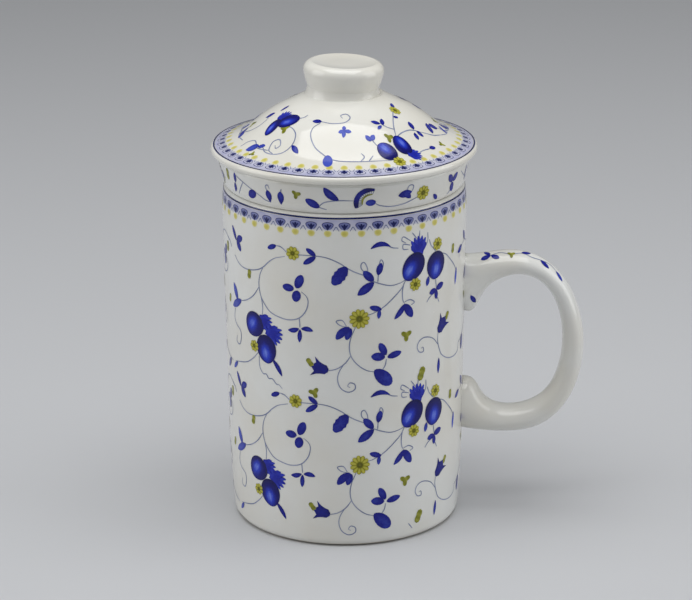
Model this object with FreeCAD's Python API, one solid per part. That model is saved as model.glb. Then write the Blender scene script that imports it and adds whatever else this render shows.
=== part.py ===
import FreeCAD, Part
import math
import os

from FreeCAD import Vector

# Lidded tea mug with a lift-out porcelain infuser.
# Millimetres, +Z up. The origin is on the mug's axis, in the plane of its foot.
# The handle points along +X.

# Driving dimensions
FOOT_R = 35.0            # outer radius of the ring the mug stands on
FOOT_RING_W = 2.8        # width of that ring
FOOT_RECESS = 1.8        # how far the underside is let in
HEEL_R = 37.75           # outer radius where the foot's rounded corner ends
HEEL_Z = 2.8
BELLY_R = 39.05          # outer radius above the drawn-in heel
BELLY_Z = 27.0
WALL_TOP_R = 40.2        # widest radius, just below the rim
WALL_TOP_Z = 103.0
RIM_R = 39.75            # outer radius at the rim
LIP_R = 1.35             # the lip is a half round of this radius
RIM_TOP = 114.25         # height of the mug without its infuser and lid
MUG_FLOOR = 5.4          # height of the inside floor
MUG_IN_BOTTOM_R = 35.9

TUBE_BOTTOM = 46.0       # underside of the infuser
TUBE_BOTTOM_R = 34.3     # outer radius of the infuser's tube, low down
TUBE_TOP_R = 35.3        # and just below its shoulder
TUBE_WALL = 2.5
TUBE_FLOOR = 3.0
REST_GAP = 0.1           # glaze-to-glaze gap where one piece rests on the next
COLLAR_BOTTOM_R = 40.1
COLLAR_TOP_R = 41.2
COLLAR_TOP = 124.8
COLLAR_WALL = 2.7
HOLE_R = 1.2             # radius of a straining hole
HOLE_ROWS = 3
HOLES_PER_ROW = 18
HOLE_ROW_Z = 56.0        # height of the lowest row
HOLE_ROW_STEP = 6.0
FLOOR_HOLE_PITCH = 6.4
FLOOR_HOLE_RINGS = 3

BRIM_R = 43.7            # largest radius of the lid
BRIM_THICK = 2.4
FLANGE_OUT_R = 36.6      # the ring under the lid that drops into the collar
FLANGE_IN_R = 34.2
FLANGE_DEPTH = 6.1
SHELL = 3.0              # wall of the lid's dome
DOME_TOP = 144.1         # height of the flat that the knob is luted to
DOME_FLAT_R = 12.9       # radius of that flat
KNOB_NECK_R = 11.8
KNOB_R = 13.1
KNOB_TOP = 154.6
KNOB_LEAN = 2.5          # degrees: the knob was set on slightly out of true
KNOB_SHIFT = -0.3

SECTION_POINTS = 16      # points round one section of the handle

def at(r, z):
    return Vector(r, 0, z)


def line(a, b):
    return Part.LineSegment(at(*a), at(*b)).toShape()


def arc(a, mid, b):
    return Part.Arc(at(*a), at(*mid), at(*b)).toShape()


def spline(points):
    curve = Part.BSplineCurve()
    curve.interpolate([at(*p) for p in points])
    return curve.toShape()


def turned(edges):
    # One full turn of a closed outline about the mug's axis.
    face = Part.Face(Part.Wire(edges))
    return face.revolve(Vector(0, 0, 0), Vector(0, 0, 1), 360)


def outer_wall():
    # The mug's outside from heel to rim: a drawn-in heel, a long taper and a rim that turns in.
    return [
        arc((HEEL_R, HEEL_Z), (HEEL_R + 0.85, 15.0), (BELLY_R, BELLY_Z)),
        line((BELLY_R, BELLY_Z), (WALL_TOP_R, WALL_TOP_Z)),
        arc((WALL_TOP_R, WALL_TOP_Z), (WALL_TOP_R - 0.08, 108.4), (RIM_R, RIM_TOP - LIP_R)),
    ]


def mug_body():
    lip_z = RIM_TOP - LIP_R
    lip_mid = RIM_R - LIP_R
    rim_in = RIM_R - 2 * LIP_R
    ring_in = FOOT_R - FOOT_RING_W
    floor_r = MUG_IN_BOTTOM_R - 6.5
    edges = [
        line((0, FOOT_RECESS), (ring_in - 1.6, FOOT_RECESS)),
        arc((ring_in - 1.6, FOOT_RECESS), (ring_in - 0.5, 1.3), (ring_in, 0)),
        line((ring_in, 0), (FOOT_R, 0)),
        arc((FOOT_R, 0), (FOOT_R + 1.95, 0.82), (HEEL_R, HEEL_Z)),
        *outer_wall(),
        arc((RIM_R, lip_z), (lip_mid, RIM_TOP), (rim_in, lip_z)),
        line((rim_in, lip_z), (MUG_IN_BOTTOM_R, 12.0)),
        arc((MUG_IN_BOTTOM_R, 12.0), (34.0, 7.3), (floor_r, MUG_FLOOR + 0.2)),
        line((floor_r, MUG_FLOOR + 0.2), (0, MUG_FLOOR)),
        line((0, MUG_FLOOR), (0, FOOT_RECESS)),
    ]
    return turned(edges)


def mug_envelope():
    # The mug as if it were filled, used to cut the handle's roots to its wall.
    edges = [
        line((0, HEEL_Z), (HEEL_R, HEEL_Z)),
        *outer_wall(),
        line((RIM_R, RIM_TOP - LIP_R), (0, RIM_TOP - LIP_R)),
        line((0, RIM_TOP - LIP_R), (0, HEEL_Z)),
    ]
    return turned(edges)


# Stations of the handle from its upper root to its lower one.
# Each is x, z of the centre, thickness in the handle's plane, width across it, and the
# direction of the centre line in degrees from +X.
HANDLE = [
    (36.6, 79.6, 17.8, 14.4, 8),
    (42.4, 81.0, 16.4, 13.6, 16),
    (46.3, 83.6, 11.4, 12.8, 18),
    (51.0, 85.2, 9.2, 12.2, 11),
    (57.4, 85.9, 7.8, 11.6, -7),
    (65.0, 83.5, 6.8, 11.2, -32),
    (71.2, 77.1, 6.5, 11.0, -57),
    (74.9, 68.0, 6.7, 11.0, -77),
    (76.1, 57.6, 7.2, 11.2, -91),
    (74.6, 47.4, 7.5, 11.2, -106),
    (70.4, 38.6, 8.0, 11.4, -125),
    (63.2, 32.9, 9.0, 11.8, -152),
    (54.8, 31.3, 9.0, 12.2, -178),
    (47.6, 32.2, 10.4, 13.0, -195),
    (42.8, 34.4, 14.0, 13.8, -203),
    (36.6, 37.8, 17.2, 14.4, -200),
]


def section(x, z, thick, width, angle):
    # An ellipse square to the centre line, as one closed smooth curve.
    a = math.radians(angle)
    in_plane = Vector(-math.sin(a), 0, math.cos(a))
    centre = Vector(x, 0, z)
    points = []
    for i in range(SECTION_POINTS):
        t = 2 * math.pi * i / SECTION_POINTS
        side = Vector(0, width / 2 * math.sin(t), 0)
        points.append(centre + in_plane * (thick / 2 * math.cos(t)) + side)
    curve = Part.BSplineCurve()
    curve.interpolate(points, PeriodicFlag=True)
    return Part.Wire([curve.toShape()])


def mug_handle(envelope):
    wires = [section(*station) for station in HANDLE]
    body = Part.makeLoft(wires, True, False, False)
    return body.cut(envelope)


def infuser_basket():
    seat = RIM_TOP + REST_GAP
    lip = COLLAR_WALL / 2
    top_z = COLLAR_TOP - lip
    in_top = TUBE_TOP_R - TUBE_WALL
    in_bottom = TUBE_BOTTOM_R - TUBE_WALL
    floor_z = TUBE_BOTTOM + TUBE_FLOOR
    heel = 4.0
    edges = [
        line((0, TUBE_BOTTOM), (TUBE_BOTTOM_R - heel, TUBE_BOTTOM)),
        arc((TUBE_BOTTOM_R - heel, TUBE_BOTTOM), (TUBE_BOTTOM_R - 1.17, TUBE_BOTTOM + 1.17),
            (TUBE_BOTTOM_R, TUBE_BOTTOM + heel)),
        line((TUBE_BOTTOM_R, TUBE_BOTTOM + heel), (TUBE_TOP_R, seat - 2.2)),
        arc((TUBE_TOP_R, seat - 2.2), (TUBE_TOP_R + 0.64, seat - 0.64), (TUBE_TOP_R + 2.2, seat)),
        line((TUBE_TOP_R + 2.2, seat), (38.6, seat)),
        arc((38.6, seat), (39.65, seat + 1.25), (COLLAR_BOTTOM_R, seat + 3.25)),
        line((COLLAR_BOTTOM_R, seat + 3.25), (COLLAR_TOP_R, top_z)),
        arc((COLLAR_TOP_R, top_z), (COLLAR_TOP_R - lip, COLLAR_TOP), (COLLAR_TOP_R - 2 * lip, top_z)),
        line((COLLAR_TOP_R - 2 * lip, top_z), (37.9, 120.2)),
        arc((37.9, 120.2), (37.1, 117.9), (35.2, 117.0)),
        line((35.2, 117.0), (34.6, 116.8)),
        arc((34.6, 116.8), (33.3, 115.7), (in_top, 113.4)),
        line((in_top, 113.4), (in_bottom, floor_z + 3.0)),
        arc((in_bottom, floor_z + 3.0), (in_bottom - 0.88, floor_z + 0.88), (in_bottom - 3.0, floor_z)),
        line((in_bottom - 3.0, floor_z), (0, floor_z)),
        line((0, floor_z), (0, TUBE_BOTTOM)),
    ]
    return turned(edges).cut(Part.makeCompound(straining_holes()))


def straining_holes():
    # Rows round the lower wall, each turned by half a step, and rings in the floor.
    holes = []
    step = 360.0 / HOLES_PER_ROW
    for row in range(HOLE_ROWS):
        z = HOLE_ROW_Z + row * HOLE_ROW_STEP
        for i in range(HOLES_PER_ROW):
            a = math.radians((i + 0.5 * (row % 2)) * step)
            out = Vector(math.cos(a), math.sin(a), 0)
            start = out * (TUBE_BOTTOM_R - 8.0) + Vector(0, 0, z)
            holes.append(Part.makeCylinder(HOLE_R, 12.0, start, out))
    for ring in range(FLOOR_HOLE_RINGS + 1):
        count = max(1, 6 * ring)
        for i in range(count):
            a = 2 * math.pi * (i + 0.5 * (ring % 2)) / count
            r = FLOOR_HOLE_PITCH * ring
            start = Vector(r * math.cos(a), r * math.sin(a), TUBE_BOTTOM - 1.0)
            holes.append(Part.makeCylinder(HOLE_R, TUBE_FLOOR + 2.0, start))
    return holes


def dome_points():
    # The dome falls away round, turns hollow over the flange and flattens towards the brim.
    return [
        (DOME_FLAT_R, DOME_TOP),
        (17.7, DOME_TOP - 2.65),
        (24.2, DOME_TOP - 6.1),
        (29.3, DOME_TOP - 9.8),
        (34.1, DOME_TOP - 13.25),
        (38.9, DOME_TOP - 15.45),
        (42.3, COLLAR_TOP + 2.7),
    ]


def lid():
    seat = COLLAR_TOP + REST_GAP
    flange_z = seat - FLANGE_DEPTH
    flange_mid = (FLANGE_OUT_R + FLANGE_IN_R) / 2
    half = (FLANGE_OUT_R - FLANGE_IN_R) / 2
    edges = [
        line((0, DOME_TOP), (DOME_FLAT_R, DOME_TOP)),
        spline(dome_points()),
        arc((42.3, COLLAR_TOP + 2.7), (BRIM_R, seat + BRIM_THICK / 2 + 0.1), (42.5, seat)),
        line((42.5, seat), (FLANGE_OUT_R, seat)),
        line((FLANGE_OUT_R, seat), (FLANGE_OUT_R, flange_z + half)),
        arc((FLANGE_OUT_R, flange_z + half), (flange_mid, flange_z), (FLANGE_IN_R, flange_z + half)),
        line((FLANGE_IN_R, flange_z + half), (FLANGE_IN_R, seat - 1.0)),
        spline([
            (FLANGE_IN_R, seat - 1.0),
            (32.6, DOME_TOP - 16.0),
            (27.6, DOME_TOP - 12.0),
            (22.4, DOME_TOP - 8.3),
            (16.0, DOME_TOP - 5.0),
            (8.0, DOME_TOP - SHELL - 0.5),
            (0, DOME_TOP - SHELL),
        ]),
        line((0, DOME_TOP - SHELL), (0, DOME_TOP)),
    ]
    return turned(edges)


def lid_knob():
    # The foot starts inside the dome's flat top and is trimmed to it after the knob is leaned.
    foot = DOME_TOP - 2.1
    neck = DOME_TOP + 2.5
    wide = KNOB_TOP - 3.4
    dish = KNOB_TOP - 0.4
    edges = [
        line((0, foot), (KNOB_NECK_R + 1.2, foot)),
        line((KNOB_NECK_R + 1.2, foot), (KNOB_NECK_R + 1.1, DOME_TOP - 0.9)),
        arc((KNOB_NECK_R + 1.1, DOME_TOP - 0.9), (KNOB_NECK_R + 0.2, DOME_TOP + 0.8), (KNOB_NECK_R, neck)),
        arc((KNOB_NECK_R, neck), (KNOB_NECK_R + 0.75, neck + 2.2), (KNOB_R, wide)),
        arc((KNOB_R, wide), (KNOB_R - 0.55, KNOB_TOP - 1.0), (KNOB_R - 2.5, KNOB_TOP)),
        arc((KNOB_R - 2.5, KNOB_TOP), (7.2, KNOB_TOP - 0.3), (4.0, dish)),
        line((4.0, dish), (0, dish)),
        line((0, dish), (0, foot)),
    ]
    knob = turned(edges)
    knob.rotate(Vector(0, 0, DOME_TOP), Vector(0, 1, 0), KNOB_LEAN)
    knob.translate(Vector(KNOB_SHIFT, 0, 0))
    below = Part.makeBox(60, 60, 20, Vector(-30, -30, DOME_TOP - 20))
    return knob.cut(below)


def save(name, shape):
    solids = shape.Solids
    box = shape.BoundBox
    print(name, "solids", len(solids), "valid", shape.isValid(), "volume %.0f" % shape.Volume,
          "x %.2f %.2f  y %.2f %.2f  z %.2f %.2f" % (
              box.XMin, box.XMax, box.YMin, box.YMax, box.ZMin, box.ZMax))
    shape.exportStep("parts/%s.step" % name)


os.makedirs("parts", exist_ok=True)
save("mug_body", mug_body())
save("mug_handle", mug_handle(mug_envelope()))
save("infuser_basket", infuser_basket())
save("lid", lid())
save("lid_knob", lid_knob())
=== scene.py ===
# %% [markdown]
# A lidded tea mug with a lift-out infuser, dressed in glaze and print.
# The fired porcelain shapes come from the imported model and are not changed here. What this
# notebook adds is what the decorator adds in the workshop: a printed border, a scrolling vine
# with plums, leaves and small flowers, a glossy glaze with its small faults, and the light.

import math

import bpy
import numpy as np
from mathutils import Matrix, Vector
from mathutils.bvhtree import BVHTree


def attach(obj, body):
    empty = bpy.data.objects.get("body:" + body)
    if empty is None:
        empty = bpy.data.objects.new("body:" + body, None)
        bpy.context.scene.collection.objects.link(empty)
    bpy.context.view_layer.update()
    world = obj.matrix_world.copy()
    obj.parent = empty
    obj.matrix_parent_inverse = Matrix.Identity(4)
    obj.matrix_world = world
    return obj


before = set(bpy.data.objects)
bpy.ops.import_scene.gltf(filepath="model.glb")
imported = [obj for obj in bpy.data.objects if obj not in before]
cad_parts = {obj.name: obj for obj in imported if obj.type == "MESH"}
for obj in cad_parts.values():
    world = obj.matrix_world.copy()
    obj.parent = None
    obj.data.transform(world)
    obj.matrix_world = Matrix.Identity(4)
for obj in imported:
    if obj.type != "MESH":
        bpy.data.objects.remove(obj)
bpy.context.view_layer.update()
MM = 0.001
print("frame nodes:", sorted(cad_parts))
# %% [markdown]
# The camera stands where the photographer stood: a little under a metre away, looking down at
# about eighteen degrees, with a long lens, so the mug's walls hardly converge. Its place was
# worked out from the curves of the rim and the foot, and the tiny roll is the photograph's own.

# %% Camera
PICTURE_WIDTH = 692
FOCAL_PIXELS = 2970.0
CAMERA_BACK = 0.93906
CAMERA_HEIGHT = 0.38157
TILT = math.radians(18.19)
PAN = math.radians(0.02)
ROLL = math.radians(-0.364)


def place_camera():
    """Builds the camera's axes from its tilt, pan and roll, and writes them as one matrix."""
    forward = Vector((math.sin(PAN) * math.cos(TILT), math.cos(PAN) * math.cos(TILT), -math.sin(TILT)))
    level = forward.cross(Vector((0, 0, 1))).normalized()
    over = level.cross(forward)
    right = level * math.cos(ROLL) + over * math.sin(ROLL)
    up = over * math.cos(ROLL) - level * math.sin(ROLL)
    data = bpy.data.cameras.new("photo_camera")
    data.sensor_width = 36.0
    data.lens = FOCAL_PIXELS / PICTURE_WIDTH * data.sensor_width
    camera = bpy.data.objects.new("photo_camera", data)
    bpy.context.scene.collection.objects.link(camera)
    turn = Matrix((right, up, -forward)).transposed().to_4x4()
    camera.matrix_world = Matrix.Translation((0, -CAMERA_BACK, CAMERA_HEIGHT)) @ turn
    bpy.context.scene.camera = camera
    return camera


camera = place_camera()
print("lens %.1f mm" % camera.data.lens)

# %% [markdown]
# The light is a photographer's tent: one broad lamp overhead and one at each side. The front of
# the mug gets least, so its round wall darkens gently towards the middle as it does in the photo.

# %% Light, floor and view
def soft_lamp(name, place, aim, size, watts, tint=(1.0, 1.0, 1.0)):
    """A rectangular area lamp at place, turned to face aim."""
    data = bpy.data.lights.new(name, "AREA")
    data.shape = "RECTANGLE"
    data.size, data.size_y = size
    data.energy = watts
    data.color = tint
    lamp = bpy.data.objects.new(name, data)
    bpy.context.scene.collection.objects.link(lamp)
    lamp.location = place
    lamp.rotation_euler = (Vector(aim) - Vector(place)).to_track_quat("-Z", "Y").to_euler()
    return lamp


MIDDLE = (0, 0, 0.08)
soft_lamp("overhead", (0.0, -0.12, 0.95), MIDDLE, (0.9, 0.8), 5.6)
soft_lamp("left_tent", (-0.95, -0.15, 0.40), MIDDLE, (0.7, 0.9), 3.0)
soft_lamp("right_tent", (0.95, -0.10, 0.40), MIDDLE, (0.7, 0.9), 3.0)

world = bpy.data.worlds.new("studio")
bpy.context.scene.world = world
world.use_nodes = True
world.node_tree.nodes["Background"].inputs["Color"].default_value = (0.80, 0.81, 0.82, 1)
world.node_tree.nodes["Background"].inputs["Strength"].default_value = 0.27
bpy.context.scene.view_settings.view_transform = "Standard"


def make_floor():
    """A wide square of pale matt paper at the height of the foot ring."""
    half = 3.0
    mesh = bpy.data.meshes.new("floor")
    mesh.from_pydata([(-half, -half, 0), (half, -half, 0), (half, half, 0), (-half, half, 0)], [],
                     [(0, 1, 2, 3)])
    floor = bpy.data.objects.new("floor", mesh)
    bpy.context.scene.collection.objects.link(floor)
    paper = bpy.data.materials.new("floor_paper")
    paper.use_nodes = True
    skin = paper.node_tree.nodes["Principled BSDF"]
    skin.inputs["Base Color"].default_value = (0.60, 0.61, 0.63, 1)
    skin.inputs["Roughness"].default_value = 0.95
    mesh.materials.append(paper)
    return floor


make_floor()

# %% [markdown]
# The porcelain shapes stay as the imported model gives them: only their finish is made here. Fired
# glaze looks plain, but it is never perfect. It pools a little, so its surface waves by a hair's
# breadth, it pits where a bubble burst, and the white drifts between cool and warm. Painting such
# faults by hand is slow, so one node group makes them from noise in Object coordinates, and every
# porcelain part takes the same group with its own strength.

# %% A helper for nodes
def add_node(tree, kind, across, up, **settings):
    """Adds one node at a place in the node editor and sets the named settings on it."""
    made = tree.nodes.new(kind)
    made.location = (across * 200, up * 200)
    for setting, value in settings.items():
        setattr(made, setting, value)
    return made


def math_node(tree, operation, first, second, across, up, clamp=False):
    """One Math node. Each of its two inputs is either an output to link or a plain number."""
    made = add_node(tree, "ShaderNodeMath", across, up, operation=operation, use_clamp=clamp)
    for socket, value in zip(made.inputs, (first, second)):
        if hasattr(value, "is_linked"):
            tree.links.new(value, socket)
        else:
            socket.default_value = value
    return made.outputs[0]


def noise(tree, place, scale, detail, across, up):
    """A Noise texture that reads a place, with its scale in features to the metre."""
    made = add_node(tree, "ShaderNodeTexNoise", across, up)
    made.inputs["Scale"].default_value = scale
    made.inputs["Detail"].default_value = detail
    tree.links.new(place, made.inputs["Vector"])
    return made


def dent(tree, height, strength, distance, up):
    """Turns a height into the normal of the tree's skin, by a Bump node of that depth in metres."""
    made = add_node(tree, "ShaderNodeBump", -1, up)
    made.inputs["Strength"].default_value = strength
    made.inputs["Distance"].default_value = distance
    tree.links.new(height, made.inputs["Height"])
    tree.links.new(made.outputs["Normal"], tree.nodes["Principled BSDF"].inputs["Normal"])


def screen_colour(red, green, blue):
    """A colour as read off a screen, 0 to 255, made linear light: ((c + 0.055) / 1.055) ** 2.4."""
    return tuple(((c / 255 + 0.055) / 1.055) ** 2.4 for c in (red, green, blue)) + (1.0,)


print("shell white in linear light:", [round(c, 3) for c in screen_colour(233, 232, 227)])


# %% The glaze faults, as a node group
def group_socket(group, name, way, kind="NodeSocketFloat", value=None):
    """Adds one named input or output to a node group."""
    socket = group.interface.new_socket(name=name, in_out=way, socket_type=kind)
    if value is not None:
        socket.default_value = value
    return socket


def make_glaze_faults():
    """Drift is wide noise. Gloss is base roughness plus fine noise plus pits. Height is slow waves
    less pits, where a pit is the middle of a few cells of a Voronoi pattern."""
    group = bpy.data.node_groups.new("glaze_faults", "ShaderNodeTree")
    group_socket(group, "Place", "INPUT", "NodeSocketVector")
    group_socket(group, "Base Gloss", "INPUT", value=0.1)
    group_socket(group, "Pit Share", "INPUT", value=0.06)
    for name in ("Drift", "Gloss", "Height"):
        group_socket(group, name, "OUTPUT")
    inside = add_node(group, "NodeGroupInput", -5, 0)
    place = inside.outputs["Place"]
    drift = noise(group, place, 34.0, 3.0, -4, 2)
    waves = noise(group, place, 150.0, 2.0, -4, 1)
    smear = noise(group, place, 620.0, 4.0, -4, 0)
    cells = add_node(group, "ShaderNodeTexVoronoi", -4, -1)
    cells.inputs["Scale"].default_value = 210.0
    group.links.new(place, cells.inputs["Vector"])
    dot = add_node(group, "ShaderNodeMapRange", -3, -1)
    group.links.new(cells.outputs["Distance"], dot.inputs["Value"])
    dot.inputs["From Min"].default_value = 0.10
    dot.inputs["From Max"].default_value = 0.03
    chosen = add_node(group, "ShaderNodeSeparateColor", -3, -2)
    group.links.new(cells.outputs["Color"], chosen.inputs["Color"])
    some = math_node(group, "LESS_THAN", chosen.outputs[0], inside.outputs["Pit Share"], -2, -2)
    pits = math_node(group, "MULTIPLY", dot.outputs["Result"], some, -1, -1)
    fine = math_node(group, "MULTIPLY", smear.outputs["Fac"], 0.07, -2, 0)
    gloss = math_node(group, "ADD", inside.outputs["Base Gloss"], fine, -1, 0)
    pitted = math_node(group, "MULTIPLY", pits, 0.4, 0, -1)
    hollow = math_node(group, "MULTIPLY", pits, 0.9, 0, -2)
    out = add_node(group, "NodeGroupOutput", 2, 0)
    group.links.new(drift.outputs["Fac"], out.inputs["Drift"])
    group.links.new(math_node(group, "ADD", gloss, pitted, 1, 0, True), out.inputs["Gloss"])
    height = math_node(group, "SUBTRACT", waves.outputs["Fac"], hollow, 1, -1)
    group.links.new(height, out.inputs["Height"])
    return group


glaze_faults = make_glaze_faults()
print("glaze faults group:", len(glaze_faults.nodes), "nodes")

# %% [markdown]
# The foot ring is wiped clean of glaze before firing, or the mug would stick to the kiln shelf. So
# its lowest edge is bare, matt, slightly sandy clay. The infuser's underside and the lowest edge of
# the lid's flange are bare in the same way. All three are a mask on height, with a wavy edge from
# the noise.


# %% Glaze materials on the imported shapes
GLAZE_IOR = 1.52


def make_glaze(name, warm, cool, bare_edge, gloss, pits):
    """Mixes two near-whites by the drift, and bare clay below the height bare_edge, in metres."""
    glaze = bpy.data.materials.new(name)
    glaze.use_nodes = True
    tree = glaze.node_tree
    skin = tree.nodes["Principled BSDF"]
    skin.inputs["IOR"].default_value = GLAZE_IOR
    skin.inputs["Coat Weight"].default_value = 0.25
    skin.inputs["Coat Roughness"].default_value = 0.04
    place = add_node(tree, "ShaderNodeTexCoord", -7, 0).outputs["Object"]
    faults = add_node(tree, "ShaderNodeGroup", -5, 1, node_tree=glaze_faults)
    tree.links.new(place, faults.inputs["Place"])
    faults.inputs["Base Gloss"].default_value = gloss
    faults.inputs["Pit Share"].default_value = pits
    whites = add_node(tree, "ShaderNodeValToRGB", -4, 2)
    whites.color_ramp.elements[0].position = 0.35
    whites.color_ramp.elements[0].color = warm
    whites.color_ramp.elements[1].position = 0.65
    whites.color_ramp.elements[1].color = cool
    tree.links.new(faults.outputs["Drift"], whites.inputs["Fac"])
    height = add_node(tree, "ShaderNodeSeparateXYZ", -6, -1)
    tree.links.new(place, height.inputs["Vector"])
    wander = math_node(tree, "MULTIPLY_ADD", faults.outputs["Drift"], 0.0006, -4, -1)
    wander.node.inputs[2].default_value = bare_edge - 0.0003
    above = math_node(tree, "SUBTRACT", height.outputs["Z"], wander, -3, -1)
    bare = add_node(tree, "ShaderNodeMapRange", -2, -1)
    tree.links.new(above, bare.inputs["Value"])
    bare.inputs["From Min"].default_value = 0.0002
    bare.inputs["From Max"].default_value = -0.0001
    sand = noise(tree, place, 2600.0, 2.0, -5, -2)
    clay = add_node(tree, "ShaderNodeValToRGB", -3, -2)
    clay.color_ramp.elements[0].color = screen_colour(188, 178, 160)
    clay.color_ramp.elements[1].color = screen_colour(222, 214, 199)
    tree.links.new(sand.outputs["Fac"], clay.inputs["Fac"])
    both = add_node(tree, "ShaderNodeMix", -1, 1, data_type="RGBA")
    tree.links.new(bare.outputs["Result"], both.inputs["Factor"])
    tree.links.new(whites.outputs["Color"], both.inputs["A"])
    tree.links.new(clay.outputs["Color"], both.inputs["B"])
    tree.links.new(both.outputs["Result"], skin.inputs["Base Color"])
    rough = math_node(tree, "MULTIPLY", bare.outputs["Result"], 0.6, -1, 0)
    shine = math_node(tree, "ADD", faults.outputs["Gloss"], rough, 0, 0, True)
    tree.links.new(shine, skin.inputs["Roughness"])
    dent(tree, faults.outputs["Height"], 0.35, 0.00006, -2)
    return glaze


SHELL_WARM = screen_colour(230, 228, 220)
SHELL_COOL = screen_colour(235, 236, 233)
mug_glaze = make_glaze("mug_glaze", SHELL_WARM, SHELL_COOL, 0.0007, 0.09, 0.05)
infuser_glaze = make_glaze("infuser_glaze", SHELL_WARM, SHELL_COOL, 0.0464, 0.09, 0.05)
lid_glaze = make_glaze("lid_glaze", screen_colour(234, 231, 220), screen_colour(239, 238, 231), 0.1194,
                       0.08, 0.04)
DRESSED = {"mug_body": mug_glaze, "mug_handle": mug_glaze, "infuser_basket": infuser_glaze,
           "lid": lid_glaze, "lid_knob": lid_glaze}
for node, glaze in DRESSED.items():
    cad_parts[node].material_slots[0].material = glaze
print("glazed:", ", ".join(DRESSED))

# %% [markdown]
# The blue-and-white decoration is a transfer: inks printed on a thin film, slid onto the glaze and
# fired again until they melt in. On the real mug they stand a few hundredths of a millimetre proud,
# and they could be an image wrapped round the wall. Here every mark is a thin patch of its own mesh
# instead, laid on the wall by formula. That needs no picture, keeps its edges sharp at any distance
# and lets each ink have its own finish. First the wall itself is measured: the radius at each height
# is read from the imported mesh, so that the print follows the very same curve.


# %% Measuring the walls that carry print
RING_STEP = 0.02
SLOPE_REACH = 0.2


def triangles_of(node):
    """Corner places in millimetres (n, 3, 3) and unit normals (n, 3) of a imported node's triangles."""
    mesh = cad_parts[node].data
    places = np.empty(len(mesh.vertices) * 3)
    mesh.vertices.foreach_get("co", places)
    corners = np.empty(len(mesh.loops), int)
    mesh.loops.foreach_get("vertex_index", corners)
    normals = np.empty(len(mesh.polygons) * 3)
    mesh.polygons.foreach_get("normal", normals)
    return places.reshape(-1, 3)[corners.reshape(-1, 3)] / MM, normals.reshape(-1, 3)


def ring_table(keys, values):
    """Means of the values over equal keys, rounded to RING_STEP: one row for each turned ring."""
    rounded, which = np.unique(np.round(keys / RING_STEP) * RING_STEP, return_inverse=True)
    return rounded, np.bincount(which, values) / np.bincount(which)


def measured_wall(node, low, high, least_radius):
    """Height and radius of the rings of a turned outer wall, between two heights."""
    corners, normals = triangles_of(node)
    middle = corners.mean(1)
    radius = np.hypot(middle[:, 0], middle[:, 1])
    outward = (middle[:, 0] * normals[:, 0] + middle[:, 1] * normals[:, 1]) / radius
    keep = (outward > 0.4) & (radius > least_radius) & (middle[:, 2] > low) & (middle[:, 2] < high)
    found = corners[keep].reshape(-1, 3)
    return ring_table(found[:, 2], np.hypot(found[:, 0], found[:, 1]))


def measured_dome(node, least_radius):
    """Radius and height of the rings of a turned top, from the faces that look upward."""
    corners, normals = triangles_of(node)
    middle = corners.mean(1)
    keep = (normals[:, 2] > 0.3) & (np.hypot(middle[:, 0], middle[:, 1]) > least_radius)
    found = corners[keep].reshape(-1, 3)
    return ring_table(np.hypot(found[:, 0], found[:, 1]), found[:, 2])


MUG_WALL = measured_wall("mug_body", 2.0, 114.3, 37.0)
COLLAR_WALL = measured_wall("infuser_basket", 114.6, 124.8, 38.5)
LID_DOME = measured_dome("lid", 12.0)
for name, table in (("mug wall", MUG_WALL), ("collar", COLLAR_WALL), ("lid dome", LID_DOME)):
    print(name, len(table[0]), "rings, from", table[0][0].round(2), "to", table[0][-1].round(2))


# %% Laying flat places on the walls
ROUND = 40.0


def slope_of(table, at):
    """The rise of a ring table at each place: its change over SLOPE_REACH to both sides."""
    change = np.interp(at + SLOPE_REACH, *table) - np.interp(at - SLOPE_REACH, *table)
    return change / (2 * SLOPE_REACH)


def on_wall(wall, flat, lift):
    """Flat x runs round the wall and y is height. The angle from the front is x / ROUND, the radius
    comes from the ring table, and each point is lifted along the wall's own normal."""
    across, height = flat[:, 0], flat[:, 1]
    radius = np.interp(height, *wall)
    slope = slope_of(wall, height)
    tilt = np.hypot(1, slope)
    out = radius + lift / tilt
    up = height - lift * slope / tilt
    angle = across / ROUND
    return np.column_stack([out * np.sin(angle), -out * np.cos(angle), up])


def on_dome(dome, flat, lift):
    """Flat x and y are the plan seen from above. The height comes from the ring table at that
    distance from the middle, and each point is lifted along the dome's own normal."""
    radius = np.hypot(flat[:, 0], flat[:, 1])
    height = np.interp(radius, *dome)
    slope = slope_of(dome, radius)
    tilt = np.hypot(1, slope)
    out = radius - lift * slope / tilt
    return np.column_stack([flat * (out / radius)[:, None], height + lift / tilt])


print("mug wall radius at mid height: %.2f mm" % np.interp(60.0, *MUG_WALL))

# %% [markdown]
# Two kinds of mark make up the whole print. A fill is a closed outline with rings inside it that
# shrink to its middle, like the threads of a spider's web, so that a shade can run from the middle
# to the edge. A stroke is a ribbon along a smooth path, as a fine brush would pull it. Each mark is
# kept as flat places with a tone from 0, dark, to 1, light, and only later laid on a wall.


# %% Fills and strokes
def web_faces(around, rings):
    """Triangles about the middle point 0, then bands of four-sided faces out to the last ring."""
    step = np.arange(around)
    onward = (step + 1) % around
    fan = np.column_stack([np.zeros(around, int), 1 + step, 1 + onward])
    start = 1 + around * np.arange(rings - 1)[:, None]
    bands = np.stack([start + step, start + around + step, start + around + onward, start + onward], -1)
    return fan, bands.reshape(-1, 4)


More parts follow.
